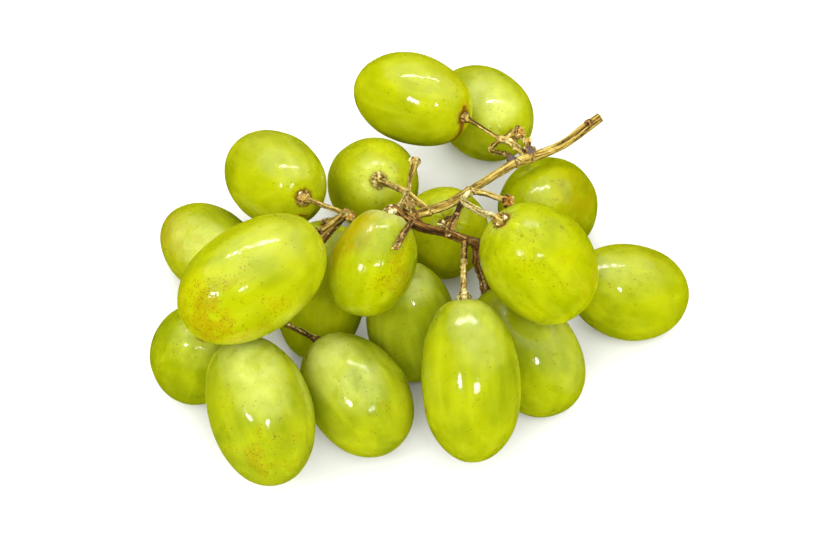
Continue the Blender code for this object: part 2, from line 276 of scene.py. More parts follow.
# Relief in millimetres: slow ripples, fine pebbling and crumpled skin at the stem end,
# which also creases lengthwise where it is wilted
ripple = node(tree, "TexNoise", {"Vector": place, "Scale": 0.4, "Detail": 2.0})
pebble = node(tree, "TexNoise", {"Vector": place, "Scale": 1.8, "Detail": 2.0})
crumple = node(tree, "TexNoise", {"Vector": place, "Scale": 1.6, "Detail": 4.0})
near = node(tree, "MapRange", look["stem_end"], 10.0, 2.0, 0.0, 0.07, interpolation_type="SMOOTHSTEP")
slack = node(tree, "Math MULTIPLY_ADD", look["wilted"], 2.2, 1.0)
for factor in (near, slack):
    crumple = node(tree, "Math MULTIPLY", crumple, factor)
crease = node(tree, "TexNoise", {"Vector": lengthwise, "Scale": 1.0, "Detail": 3.0})
crease = node(tree, "Math MULTIPLY", crease, look["wilted"])
rise = crumple
for layer, depth in ((crease, 0.12), (ripple, 0.06), (pebble, 0.03), (pore, -0.01)):
    rise = node(tree, "Math MULTIPLY_ADD", layer, depth, rise)
relief = node(tree, "Bump", {"Height": rise, "Strength": 1.0, "Distance": MM})
shader = node(tree, "BsdfPrincipled", {
    "Base Color": flesh, "Roughness": gloss, "IOR": 1.42, "Specular IOR Level": 0.2,
    "Normal": relief, "Subsurface Weight": 1.0, "Subsurface Radius": (1.0, 0.9, 0.2),
    "Subsurface Scale": 6.0 * MM, "Coat Weight": wax, "Coat Roughness": 0.05, "Coat IOR": 1.7,
    "Coat Normal": relief})
node(tree, "OutputMaterial", {"Surface": shader})

# The grown berry: its form in millimetres, with the tip up, then its marks and its place
BARREL = 0.92               # the power of the sine; below 1 the ends are blunter
HOLLOW_DEPTH = 0.8
HOLLOW_REACH = 2.6
PLEAT_REACH = 9.0
tree, given = growth("grow_berry", "Berry", {
    "Float": ("Length", "Girth", "Fullness", "Number", "Ripeness", "Worn", "Dull", "Wilted",
              "Russet", "Pleated", "Freckled", "Amber", "Bloom", "Scar Width", "Crack Width"),
    "Vector": ("Bow", "Freckled Side", "Amber Side", "Bloom Side", "Scar From", "Scar To",
               "Crack From", "Crack To", "Place", "Turn"),
    "Material": ("Skin",)})
ball = node(tree, "GeometryNodeMeshUVSphere", {"Segments": 128, "Rings": 84, "Radius": 1.0})
spot = node(tree, "SeparateXYZ", node(tree, "GeometryNodeInputPosition"))
swing = node(tree, "Math MULTIPLY", spot.outputs["Z"], -1.0)
level = node(tree, "CombineXYZ", spot.outputs["X"], spot.outputs["Y"])
sine = node(tree, "VectorMath LENGTH", level).outputs["Value"]
spoke = node(tree, "VectorMath NORMALIZE", level)
# Radius: girth / 2 * sine ** barrel * (1 - fullness * swing)
radius = node(tree, "Math POWER", sine, BARREL)
full = node(tree, "Math MULTIPLY", given["Fullness"], swing)
full = node(tree, "Math SUBTRACT", 1.0, full)
for factor in (full, given["Girth"], 0.5):
    radius = node(tree, "Math MULTIPLY", radius, factor)
# Height: -length / 2 * swing, with the hollow at the stem end
height = swing
for factor in (given["Length"], -0.5):
    height = node(tree, "Math MULTIPLY", height, factor)
near = node(tree, "Math DIVIDE", radius, HOLLOW_REACH)
near = node(tree, "Math POWER", near, 2.0)
near = node(tree, "Math MULTIPLY", near, -1.0)
near = node(tree, "Math EXPONENT", near)
stem_half = node(tree, "Math GREATER_THAN", swing, 0.0)
near = node(tree, "Math MULTIPLY", near, stem_half)
height = node(tree, "Math MULTIPLY_ADD", near, HOLLOW_DEPTH, height)
bend = node(tree, "Math DIVIDE", height, given["Length"])
bend = node(tree, "Math MULTIPLY", bend, 2.0)
bend = node(tree, "Math MULTIPLY", bend, bend)
bend = node(tree, "Math SUBTRACT", bend, 0.5)
body = node(tree, "VectorMath SCALE", {0: spoke, "Scale": radius})
lift = node(tree, "CombineXYZ", {2: height})
bow = node(tree, "VectorMath SCALE", {0: given["Bow"], "Scale": bend})
for move in (lift, bow):
    body = node(tree, "VectorMath ADD", body, move)
shape = node(tree, "GeometryNodeSetPosition", {"Geometry": ball, "Position": body})
local = node(tree, "GeometryNodeInputPosition")
shape = node(tree, "GeometryNodeStoreNamedAttribute",
             {"Geometry": shape, "Name": "skin", "Value": local}, data_type="FLOAT_VECTOR")
# The skin is pleated round the collar, and the flesh swells slowly elsewhere
pole = node(tree, "Math MULTIPLY_ADD", given["Length"], -0.5, HOLLOW_DEPTH)
pole = node(tree, "CombineXYZ", {2: pole})
far = node(tree, "VectorMath DISTANCE", local, pole).outputs["Value"]
close = node(tree, "MapRange", far, PLEAT_REACH, HOLLOW_REACH, 0.0, 1.0,
             interpolation_type="SMOOTHSTEP")
around = node(tree, "VectorMath MULTIPLY", local, (1.0, 1.0, 0.0))
around = node(tree, "VectorMath NORMALIZE", around)
around = node(tree, "VectorMath SCALE", {0: around, "Scale": HOLLOW_REACH})
apart = node(tree, "Math MULTIPLY", given["Number"], SHIFT[0])
apart = node(tree, "Math MULTIPLY_ADD", far, 0.12, apart)
apart = node(tree, "CombineXYZ", {2: apart})
around = node(tree, "VectorMath ADD", around, apart)
fold = node(tree, "TexNoise", {"Vector": around, "Scale": 1.0, "Detail": 2.0})
fold = node(tree, "Math SUBTRACT", fold, 0.5)
fold = node(tree, "Math MULTIPLY", fold, close)
for name, value in (("pleat", fold), ("stem_end", far)):
    shape = node(tree, "GeometryNodeStoreNamedAttribute",
                 {"Geometry": shape, "Name": name, "Value": value})
folded = node(tree, "GeometryNodeInputNamedAttribute", {"Name": "pleat"})
folded = node(tree, "Math MULTIPLY", folded, given["Pleated"])
drift = node(tree, "VectorMath SCALE", {0: SHIFT, "Scale": given["Number"]})
drift = node(tree, "VectorMath ADD", local, drift)
swell = node(tree, "TexNoise", {"Vector": drift, "Scale": 0.08, "Detail": 1.0})
swell = node(tree, "Math SUBTRACT", swell, 0.5)
swell = node(tree, "Math MULTIPLY_ADD", swell, 0.9, folded)
normal = node(tree, "GeometryNodeInputNormal")
swell = node(tree, "VectorMath SCALE", {0: normal, "Scale": swell})
shape = node(tree, "GeometryNodeSetPosition", {"Geometry": shape, "Offset": swell})
shape = node(tree, "GeometryNodeTransform",
             {"Geometry": shape, "Translation": given["Place"], "Rotation": given["Turn"],
              "Scale": (MM, MM, MM)})
# Pressed flat, with a soft edge, just over the table
world = node(tree, "GeometryNodeInputPosition")
spot = node(tree, "SeparateXYZ", world).outputs
lowest = node(tree, "Math SMOOTH_MAX", spot["Z"], 0.02 * MM, 0.3 * MM)
flat = node(tree, "CombineXYZ", spot["X"], spot["Y"], lowest)
shape = node(tree, "GeometryNodeSetPosition", {"Geometry": shape, "Position": flat})
looks = {name: given[name] for name in ("Number", "Ripeness", "Worn", "Dull", "Wilted", "Russet")}
# How much a point faces the freckled side, the amber side, and the bloomy side that also carries the
# painted sheen
for name, low, high in (("Freckled", 0.45, 1.0), ("Amber", 0.45, 1.0), ("Bloom", 0.7, 0.97)):
    faced = node(tree, "VectorMath DOT_PRODUCT", normal, given[name + " Side"])
    faced = node(tree, "MapRange", faced.outputs["Value"], low, high, 0.06, 1.0)
    looks[name] = node(tree, "Math MULTIPLY", faced, given[name])
# How many of its own widths a point is from the scar and the crack, which run over the
# berry from one side to another
out = node(tree, "VectorMath SUBTRACT", world, given["Place"])
out = node(tree, "VectorMath NORMALIZE", out)
for name in ("Scar", "Crack"):
    start = given[name + " From"]
    run = node(tree, "VectorMath SUBTRACT", given[name + " To"], start)
    ahead = node(tree, "VectorMath SUBTRACT", out, start)
    ahead, square = (node(tree, "VectorMath DOT_PRODUCT", way, run).outputs["Value"]
                     for way in (ahead, run))
    share = node(tree, "Math DIVIDE", ahead, square, use_clamp=True)
    run = node(tree, "VectorMath SCALE", {0: run, "Scale": share})
    run = node(tree, "VectorMath ADD", run, start)
    run = node(tree, "VectorMath NORMALIZE", run)
    gap = node(tree, "VectorMath DISTANCE", out, run).outputs["Value"]
    gap = node(tree, "Math MULTIPLY", gap, given["Girth"])
    looks[name] = node(tree, "Math DIVIDE", gap, given[name + " Width"])
for name, value in looks.items():
    shape = node(tree, "GeometryNodeStoreNamedAttribute",
                 {"Geometry": shape, "Name": name.lower(), "Value": value})
finished(tree, shape, given["Skin"])
grow_berry = tree

stem_points = np.array([v.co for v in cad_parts["stem"].data.vertices])
SOLID_SIDES = 18                  # facets round a solid berry
RIM_TO_POLE = 0.62 * MM           # how far the full form reaches past the solid's ends


def moulded(fullness):
    """Volume of a berry of this fullness as a share of length times girth squared."""
    swing = np.linspace(0, PI, 400)
    radius = 0.5 * np.sin(swing) ** BARREL * (1 - fullness * np.cos(swing))
    return np.trapz(PI * radius ** 2, -0.5 * np.cos(swing))


def sized(name, fullness):
    """Centre, axis from stem end to tip, length and girth of a solid berry, in metres."""
    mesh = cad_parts[name].data
    mesh.calc_loop_triangles()
    points = np.array([v.co for v in mesh.vertices])
    a, b, c = points[np.array([t.vertices for t in mesh.loop_triangles])].transpose(1, 0, 2)
    share = np.einsum("ij,ij->i", a, np.cross(b, c)) / 6
    volume = share.sum()
    centre = ((a + b + c) / 4 * share[:, None]).sum(0) / volume
    a, b, c = a - centre, b - centre, c - centre
    share = np.einsum("ij,ij->i", a, np.cross(b, c)) / 20
    spread = sum(np.einsum("i,ij,ik->jk", share, p, p) for p in (a, b, c, a + b + c))
    axis = np.linalg.eigh(spread)[1][:, -1]
    along = (points - centre) @ axis
    ends = [centre + axis * along.max(), centre + axis * along.min()]
    gaps = [np.linalg.norm(stem_points - end, axis=1).min() for end in ends]
    if gaps[0] < gaps[1]:
        axis, along = -axis, -along
    length = along.max() - along.min() + RIM_TO_POLE
    facets = SOLID_SIDES / (2 * PI) * math.sin(2 * PI / SOLID_SIDES)
    girth = math.sqrt(volume / (facets * moulded(fullness) * length))
    return Vector(centre + axis * (along.max() - length / 2)), Vector(axis), length, girth


# What marks the berries. Each row holds what is usual, then the berries that differ. An
# amount of 0 is none and 1 is plenty, though a few berries go past it.
AMOUNTS = {
    # Ripeness and shade: each berry's ripeness, also set lighter or darker to paint light or shade over
    # the whole berry
    "Ripeness": (0.5, {1: 0.7, 2: 0.6, 3: 0.6, 4: 0.6, 5: 0.8, 6: 0.4, 7: 0.45, 8: 0.4, 9: 0.4, 10: 0.3,
                       11: 0.2, 12: 0.8, 13: 0.1, 14: 0.4, 15: 0.2, 16: 0.25, 17: 0.2}),
    "Worn": (0.2, {2: 0.4, 3: 0.5, 4: 0.3, 5: 1.0, 6: 0.6, 7: 1.0, 8: 0.7, 11: 0.6, 12: 1.0}),
    "Dull": (0.0, {7: 0.6}),
    "Wilted": (0.0, {6: 1.0, 7: 0.35, 10: 0.4}),
    "Russet": (0.85, {5: 0.6, 10: 0.4, 12: 0.2}),
    "Pleated": (0.35, {6: 0.9, 7: 0.6, 10: 0.5, 12: 0.8}),
}
# In the same way, an amount and the side that faces it, or where a scar or a crack
# starts and ends on the berry and its width in millimetres
MARKS = {
    ("Freckled", "Freckled Side"): ((0.15, (0, -0.5, 0.8)), {
        1: (0.3, (0.2, -0.8, 0.5)), 4: (1.7, (-0.25, -0.95, 0.2)), 6: (0.9, (0.75, -0.5, 0.4)),
        7: (0.35, (0, -0.5, 0.8)), 9: (0.3, (0, -0.5, 0.8)), 10: (0.15, (0, -0.9, 0.4)),
        13: (0.4, (0.3, -0.9, 0.3)), 14: (0.2, (0, -0.5, 0.8)), 15: (0.35, (0.2, -0.8, 0.6)),
        16: (1.0, (0.1, -0.98, 0.2)), 17: (0.35, (-0.3, -0.7, 0.6))}),
    ("Amber", "Amber Side"): ((0.15, (0.3, 0, 1)), {
        1: (0.45, (0.6, 0.2, 0.8)), 4: (0.5, (-0.8, -0.4, 0.5)), 5: (0.35, (0.2, 0.5, 0.9)),
        6: (0.85, (-0.6, 0.3, 0.7)), 7: (0.45, (0.8, -0.5, 0.3)), 8: (0.6, (0.7, -0.2, 0.7)),
        9: (0.4, (0.5, 0.2, 0.8)), 10: (0.4, (-0.2, 0.5, 0.8)), 15: (0.35, (0.6, -0.3, 0.7)),
        16: (0.35, (0.7, -0.2, 0.7)), 18: (0.65, (-0.9, 0.1, 0.4))}),
    # Bloom and painted sheen: real pale wax, plus a painted reflection of the overhead lights, mostly
    # on the upper side
    ("Bloom", "Bloom Side"): ((0.3, (0, -0.1, 1)), {
        1: (0.2, (0.2, -0.2, 0.95)), 2: (1.2, (0, -0.3, 0.95)), 3: (0.35, (0, 0.1, 1)),
        4: (0.3, (0.3, 0, 0.95)), 5: (0.9, (0, -0.65, 0.76)), 6: (0.0, (0, -0.1, 1)),
        7: (0.05, (-0.1, 0.1, 1)), 8: (0.0, (0, -0.1, 1)), 9: (0.35, (0, -0.2, 1)),
        10: (0.75, (0.2, 0.2, 0.95)), 11: (0.5, (0.6, -0.2, 0.75)), 13: (1.5, (0, 0, 1)),
        15: (1.4, (-0.3, 0, 0.95)), 16: (1.5, (0, 0.1, 1)), 17: (0.5, (0, -0.5, 0.85)),
        18: (1.5, (-0.3, -0.4, 0.85))}),
    ("Scar From", "Scar To", "Scar Width"): (((0, 0, -1), (0.1, 0, -1), 0.1), {
        1: ((0.8, -0.5, 0.3), (0.62, -0.7, -0.3), 1.2), 3: ((0.4, -0.9, 0.19), (0.5, -0.85, 0.1), 0.4),
        4: ((-0.76, -0.62, -0.19), (-0.74, -0.64, -0.24), 0.6),
        10: ((-0.82, -0.56, -0.12), (-0.8, -0.6, -0.2), 0.7),
        16: ((0.87, 0.07, 0.48), (0.86, 0.02, 0.5), 0.5)}),
    ("Crack From", "Crack To", "Crack Width"): (((0, 0, -1), (0.1, 0, -1), 0.1), {
        1: ((0.32, -0.9, -0.28), (0.6, -0.7, -0.2), 0.2),
        4: ((0.46, -0.21, 0.86), (0.52, -0.26, 0.8), 0.12),
        5: ((-0.12, 0.13, 0.98), (0.23, -0.07, 0.97), 0.16),
        7: ((0.37, -0.42, 0.83), (0.49, -0.54, 0.69), 0.16),
        8: ((-0.04, -0.18, 0.98), (-0.28, -0.44, 0.85), 0.15),
        12: ((-0.08, -0.38, 0.92), (-0.02, -0.47, 0.88), 0.15),
        15: ((-0.75, 0.55, 0.36), (-0.8, 0.13, 0.58), 0.22),
        16: ((0.31, -0.82, 0.48), (0.35, -0.85, 0.4), 0.25)}),
}
berries = []
for number in range(1, 19):
    name = "berry_%02d" % number
    draw = random.Random(number)
    fullness = draw.uniform(-0.01, 0.05)
    bow = draw.uniform(0.2, 0.8)
    bow_turn = draw.uniform(0, 2 * PI)
    centre, tip, length, girth = sized(name, fullness)
    berries.append((centre, tip, length))
    marks = {key: single.get(number, usual) for key, (usual, single) in AMOUNTS.items()}
    for keys, (usual, single) in MARKS.items():
        marks.update(zip(keys, [Vector(value).normalized() if isinstance(value, tuple) else value
                                for value in single.get(number, usual)]))
    item = grown(name + "_fruit", grow_berry, {
        "Length": length / MM, "Girth": girth / MM, "Fullness": fullness,
        "Bow": (bow * math.cos(bow_turn), bow * math.sin(bow_turn), 0.0),
        "Number": float(number), "Place": centre, "Skin": skin,
        "Turn": tip.to_track_quat("Z", "Y").to_euler(), **marks})
    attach(item, "root")
    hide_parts(name)

# Stem -----------------------------------------------------------------------
# The dried stalk: olive straw, ridged lengthwise, with dark woody forks. Every side
# shoot is grown from it in one piece, and thickens at its end to the warty collar
# that holds a berry, or to the torn cup where a berry was pulled off.

# Forks and bends, in millimetres from under the crown of the stem
UNDER_CROWN = Vector((-0.3, -9.1, 0.0))
FORKS = {
    "cut_end": (42.5, 38.0, 30.0), "stalk_swell": (38.6, 35.2, 28.9),
    "stalk_bend": (33.0, 31.5, 27.0), "stalk_knot": (25.5, 26.5, 28.0),
    "far_fork": (22.0, 24.5, 28.5), "stalk_mid": (13.5, 14.0, 32.5),
    "near_fork": (11.0, 10.0, 34.5), "stalk_low": (6.5, 5.0, 36.0),
    "back_fork": (2.0, 2.0, 37.0), "crown": (-1.5, 0.0, 38.0),
    "crown_end": (-4.5, 0.0, 39.6), "cross_end": (-6.9, -2.7, 41.2),
    "cross_top": (-5.3, -1.4, 41.4), "cross_mid": (-3.4, -2.4, 40.0),
    "cross_stub": (-1.5, -2.7, 38.7), "cross_a": (0.4, -2.9, 37.4),
    "cross_b": (6.0, -2.0, 34.5), "cross_c": (10.0, -1.5, 31.5),
    "cross_d": (12.5, -0.5, 29.0), "front_drop": (12.4, -1.0, 24.0),
    "front_bend": (9.5, -8.5, 32.5), "bridge": (9.5, 5.0, 37.0),
    "bridge_side": (7.8, 1.6, 35.8), "bridge_bend": (13.0, -0.5, 39.5),
    "far_a": (20.1, 27.3, 28.3), "far_b": (16.6, 30.4, 26.8), "far_c": (19.0, 33.0, 27.5),
    "twig_a": (22.3, 29.5, 28.6), "twig_b": (20.6, 31.5, 28.2),
    "back_knee": (-2.5, 6.5, 37.5), "back_end": (-4.5, 10.5, 35.0),
    "left_bend": (-10.5, 0.0, 34.5), "left_fork": (-15.5, -0.5, 39.0),
    "under_a": (-24.0, -9.0, 33.0), "under_b": (-29.0, -18.5, 24.5),
    "under_c": (-36.0, -13.5, 27.0), "under_d": (-33.0, -7.0, 29.0),
    "right_fork": (24.0, 0.0, 24.0),
    # Where only a knob or a bare patch of bark sits
    "stalk_patch": (39.3, 35.7, 30.0), "plum_knob": (21.0, 25.0, 29.0),
    "plum_low": (21.7, 24.3, 28.9),
}
# Each branch: its points, its radius at both ends, then how dark and woody, how
# pale and corky, and how knobbly it is. 0 is not at all and 1 is plenty.
BRANCHES = (
    (("near_fork", "stalk_low", "back_fork", "crown", "crown_end"), 1.1, 1.0, 0.25, 0.05, 0.3),
    (("cross_end", "cross_top", "cross_mid", "cross_a", "cross_b", "cross_c", "cross_d",
      "front_drop"), 1.05, 1.05, 0.85, 0.0, 0.6),
    (("cross_end", "cross_top"), 1.14, 1.08, 0.1, 1.0, 0.6),
    (("crown", "cross_a"), 1.0, 1.0, 0.85, 0.0, 0.5),
    (("near_fork", "bridge", "bridge_bend"), 0.75, 0.76, 0.0, 0.7, 0.5),
    (("bridge", "bridge_side", "cross_b"), 0.7, 0.9, 0.6, 0.05, 0.9),
    (("far_fork", "far_a", "far_b", "far_c"), 0.68, 0.55, 0.35, 0.2, 1.4),
    (("stalk_knot", "twig_a", "twig_b", "far_c"), 0.9, 0.72, 0.4, 0.3, 1.6),
    (("back_fork", "back_knee", "back_end"), 0.8, 0.65, 0.3, 0.1, 0.5),
    (("crown_end", "back_knee"), 0.7, 0.65, 0.1, 0.4, 0.4),
    (("crown_end", "left_bend", "left_fork"), 0.95, 0.8, 0.4, 0.15, 0.4),
    (("left_fork", "under_a", "under_b"), 0.9, 0.8, 0.6, 0.1, 0.5),
    (("under_a", "under_d"), 0.8, 0.7, 0.5, 0.1, 0.4),
    (("under_a", "under_c"), 0.8, 0.7, 0.5, 0.1, 0.4),
    (("cross_d", "right_fork"), 0.8, 0.7, 0.6, 0.1, 0.4),
    (("cross_c", "front_bend"), 0.75, 0.65, 0.65, 0.2, 0.9),
)
# Each knot: its radius, then how woody, how pale and how plum-grey it is
KNOTS = {
    "far_fork": (1.25, 0.3, 0.0, 0.1), "near_fork": (1.3, 0.1, 0.3, 0.0),
    "back_fork": (1.25, 0.4, 0.1, 0.0), "crown": (1.4, 0.7, 0.0, 0.0),
    "crown_end": (1.2, 0.5, 0.3, 0.0), "cross_b": (1.15, 1.0, 0.0, 0.0),
    "cross_c": (1.25, 1.0, 0.0, 0.0), "cross_d": (1.35, 0.9, 0.0, 0.0),
    "cross_end": (1.15, 0.0, 1.2, 0.0), "cross_mid": (1.2, 0.9, 0.0, 0.0),
    "front_drop": (0.8, 0.8, 0.3, 0.0), "front_bend": (0.74, 0.6, 0.4, 0.0),
    "bridge": (0.85, 0.1, 0.6, 0.0), "bridge_bend": (0.8, 0.1, 0.7, 0.0),
    "far_a": (0.75, 0.5, 0.1, 0.0), "far_c": (0.95, 0.3, 0.2, 0.0),
    "back_knee": (1.0, 0.3, 0.4, 0.0), "back_end": (0.8, 0.4, 0.2, 0.0),
    "left_fork": (1.2, 0.4, 0.2, 0.0), "under_a": (1.05, 0.6, 0.0, 0.0),
    "under_b": (0.95, 0.6, 0.0, 0.0), "under_c": (0.9, 0.6, 0.0, 0.0),
    "under_d": (0.9, 0.6, 0.0, 0.0), "right_fork": (1.0, 0.6, 0.0, 0.0),
    "stalk_knot": (1.3, 0.3, 0.1, 0.1), "plum_knob": (1.1, 0.7, 0.0, 0.85),
    "plum_low": (1.1, 0.7, 0.0, 0.85), "stalk_patch": (1.0, 1.0, 0.0, 0.1),
}
# Each bare stub: the fork it leaves, the points it runs through, its radius and that
# of its end, how woody, pale and plum-grey it is, and how open: 1 where a berry was
# torn from it, 0.3 where it only broke, 0 where bark covers it, -0.7 where it healed
STUBS = (
    ("near_fork", ((14.3, 10.3, 33.7), (18.7, 9.3, 32.6), (19.2, 8.4, 33.4)),
     0.7, 1.42, 0.2, 0.2, 0.0, 1.0),
    ("back_knee", ((-2.0, 11.0, 37.0), (-1.0, 14.5, 38.5)), 0.52, 1.12, 0.25, 0.2, 0.0, 1.0),
    ("far_c", ((21.0, 33.6, 27.8), (22.5, 33.4, 28.9)), 0.8, 1.45, 0.3, 0.2, 0.0, 1.0),
    ("stalk_knot", ((25.5, 28.1, 28.4), (25.5, 27.8, 28.9)), 1.0, 1.15, 0.7, 0.0, 0.9, 0.0),
    ("stalk_knot", ((25.1, 29.0, 28.6), (25.0, 29.9, 29.2)), 0.6, 0.85, 0.6, 0.1, 0.0, 0.8),
    ("crown", ((-1.9, 0.5, 40.4), (-1.9, -0.1, 41.3)), 0.8, 1.2, 0.25, 0.2, 0.0, -0.7),
    ("cross_stub", ((-2.1, -6.3, 41.7), (-3.1, -10.6, 44.3), (-4.4, -14.9, 45.4)),
     0.68, 0.78, 0.8, 0.15, 0.0, 0.3),
    ("cross_b", ((5.5, -2.0, 36.0), (5.1, -2.0, 36.7)), 0.6, 0.75, 0.8, 0.2, 0.0, 0.0),
    ("left_fork", ((-15.2, -1.4, 39.9), (-14.9, -2.2, 40.4)), 0.8, 1.1, 0.35, 0.1, 0.0, 0.45),
    ("bridge_side", ((6.2, 0.4, 36.1), (4.9, -0.6, 36.5)), 0.45, 0.5, 0.7, 0.2, 0.0, 0.0),
    ("cross_end", ((-6.9, -3.5, 40.9), (-6.8, -4.0, 40.7)), 0.7, 0.9, 0.3, 0.4, 0.0, 0.7),
)
# Each berry's stalk: the fork it leaves, its radius and its collar's, how woody, pale
# and knobbly it is, then how woody and pale its collar is
STALKS = (
    ("far_c", 0.55, 1.25, 0.3, 0.1, 0.6, 0.5, 0.05),
    ("twig_a", 0.6, 1.4, 0.5, 0.1, 0.5, 0.5, 0.05),
    ("left_fork", 0.6, 1.65, 0.3, 0.1, 0.5, 0.5, 0.05),
    ("left_fork", 0.75, 1.55, 0.35, 0.1, 0.5, 0.5, 0.05),
    ("back_end", 0.68, 1.75, 0.3, 0.2, 0.8, 0.05, 0.45),
    ("cross_end", 0.9, 0.9, 0.8, 0.3, 0.5, 0.5, 0.5),
    ("bridge_bend", 0.78, 1.75, 0.05, 0.7, 0.6, 0.45, 0.2),
    ("right_fork", 0.7, 1.5, 0.4, 0.1, 0.4, 0.5, 0.05),
    ("right_fork", 0.7, 1.5, 0.4, 0.1, 0.4, 0.5, 0.05),
    ("front_bend", 0.72, 1.45, 0.45, 0.3, 1.2, 0.2, 0.45),
    ("front_drop", 0.85, 1.3, 0.85, 0.2, 1.4, 0.85, 0.1),
    ("cross_b", 0.6, 0.95, 0.75, 0.1, 0.8, 0.75, 0.1),
    ("crown", 0.7, 1.5, 0.5, 0.1, 0.4, 0.5, 0.05),
    ("left_fork", 0.7, 1.5, 0.4, 0.1, 0.4, 0.5, 0.05),
    ("under_b", 0.68, 1.35, 0.55, 0.3, 0.8, 0.55, 0.1),
    ("under_b", 0.75, 1.6, 0.8, 0.1, 0.9, 0.8, 0.05),
    ("under_c", 0.7, 1.5, 0.5, 0.1, 0.4, 0.5, 0.05),
    ("under_d", 0.7, 1.5, 0.5, 0.1, 0.4, 0.5, 0.05),
)

routes = []
torn_ends = []
warty = random.Random(5)


def fork(name):
    """The place of a fork in the frame, in millimetres."""
    return Vector(FORKS[name]) + UNDER_CROWN


def route(points, thick, woody, pale, knobbly, plum=0.0, opened=None):
    """One shoot of the stem: its points in millimetres, and how it looks, in one value for
    the whole shoot or in a list with one for each point."""
    count = len(points)
    routes.append((points, thick, woody if isinstance(woody, list) else [woody] * count,
                   pale if isinstance(pale, list) else [pale] * count, knobbly, plum,
                   opened or [0.0] * count))


def warts(end, out, radius, count, size, proud, woody, pale, openness=0.0):
    """A ragged ring of warts round the end of a shoot, standing proud of it."""
    across = out.orthogonal().normalized()
    for step in range(count):
        turn = 2 * PI * (step + warty.uniform(-0.3, 0.3)) / count
        side = Quaternion(out, turn) @ across
        foot = end + side * radius * warty.uniform(0.78, 0.95)
        top = foot + out * proud * warty.uniform(0.5, 1.2) + side * warty.uniform(0.0, 0.15)
        thick = size * warty.uniform(0.7, 1.25)
        route([foot - out * 0.6, foot.lerp(top, 0.5), top], [thick * 0.8, thick, thick * 0.6],
              woody + warty.uniform(-0.2, 0.3), pale + warty.uniform(-0.2, 0.3), 0.8,
              opened=[0.0, openness * 0.3, openness * warty.uniform(0.3, 1.0)])


# The main stalk, from its sawn end, which is marked -2 and gives way to bark at once
main_line = [fork(name) for name in ("cut_end", "stalk_swell", "stalk_bend", "stalk_knot",
                                     "far_fork", "stalk_mid", "near_fork")]
main_line[1:1] = [main_line[0].lerp(main_line[1], 0.14), main_line[0].lerp(main_line[1], 0.2)]
route(main_line, [1.1, 1.14, 1.15, 1.22, 1.1, 1.15, 1.1, 0.92, 0.98], 0.12, 0.05, 0.15,
      opened=[-2.0, -1.95] + [0.0] * 7)
for names, first, last, woody, pale, knobbly in BRANCHES:
    thick = [first + (last - first) * step / (len(names) - 1) for step in range(len(names))]
    route([fork(name) for name in names], thick, woody, pale, knobbly)
# A knot is a short upright shoot as round as a ball
for name, (size, woody, pale, plum) in KNOTS.items():
    steps = (-0.97, -0.7, 0.0, 0.7, 0.97)
    route([fork(name) + Vector((0, 0, size * step)) for step in steps],
          [size * math.sqrt(1 - step ** 2) for step in steps], woody, pale, 1.0, plum)
for name, bends, radius, end_radius, woody, pale, plum, openness in STUBS:
    points = [fork(name)] + [Vector(bend) + UNDER_CROWN for bend in bends]
    end = points[-1]
    out = (end - points[-2]).normalized()
    points += [end + out * 0.6, end + out * 1.0]
    thick = [radius] * (len(points) - 3) + [end_radius * 0.85, end_radius, end_radius * 0.8]
    route(points, thick, woody, pale, 0.6, plum,
          [0.0] * (len(points) - 2) + [openness * 0.5, openness])
    if end_radius > 0.9:
        warts(end + out * 0.9, out, end_radius, 9, end_radius * 0.26,
              0.55 if plum < 0.5 else 0.2, woody + 0.3, pale + 0.1 - 0.4 * plum,
              0.3 * openness)
    elif end_radius > 0.7:
        warts(end + out * 0.9, out, end_radius, 3, end_radius * 0.4, 0.5, 0.4, 0.8)
    if openness > 0.6:
        torn_ends.append((end + out * 0.9, out, end_radius, openness))
# A stalk runs straight at its berry and ends in the hollow
for looks, (centre, tip, length) in zip(STALKS, berries):
    name, radius, collar, woody, pale, knobbly, dark, light = looks
    start = fork(name)
    end = (centre - tip * (length / 2 - HOLLOW_DEPTH * MM)) / MM
    ahead = (end - start).normalized()
    aim = (tip * 0.15 + ahead * 0.85).normalized()
    bend = end - aim * min(0.35 * (end - start).length, 2.8)
    points = [start, start.lerp(bend, 0.5), bend, end - aim * 1.9, end - aim * 1.3,
              end - aim * 0.7, end - tip * 0.2, end + tip * 0.2]
    route(points, [radius, radius * 0.92, radius, radius * 1.25, collar * 0.8, collar,
                   collar * 0.97, collar * 0.7],
          [woody] * 4 + [dark] * 4, [pale] * 4 + [light] * 4, knobbly)
    if collar > 1.1:
        warts(end - tip * 0.5, tip, collar, 10, collar * 0.24, 0.35, dark + 0.1, light)

# Bud scars and torn bark, as loose rings of warts on the camera's side of a fork
for name, radius, woody, pale, openness in (
        ("twig_a", 0.75, 0.3, 0.4, 0.5), ("twig_b", 0.65, 0.3, 0.4, 0.5),
        ("far_b", 0.5, 0.4, 0.4, 0.3), ("far_a", 0.6, 0.5, 0.2, 0.3),
        ("far_c", 0.8, 0.3, 0.3, 0.3), ("cross_b", 0.9, 0.8, 0.3, 0.2),
        ("cross_d", 0.9, 0.9, 0.1, 0.3), ("front_bend", 0.6, 0.6, 0.3, 0.4),
        ("back_knee", 0.8, 0.3, 0.4, 0.2), ("left_fork", 1.0, 0.4, 0.3, 0.5),
        ("bridge_side", 0.6, 0.8, 0.2, 0.2)):
    warts(fork(name) + Vector((0, -0.2, 0.25)), Vector((0, -0.64, 0.77)), radius, 6, 0.26,
          radius * 0.75, woody, pale, openness)

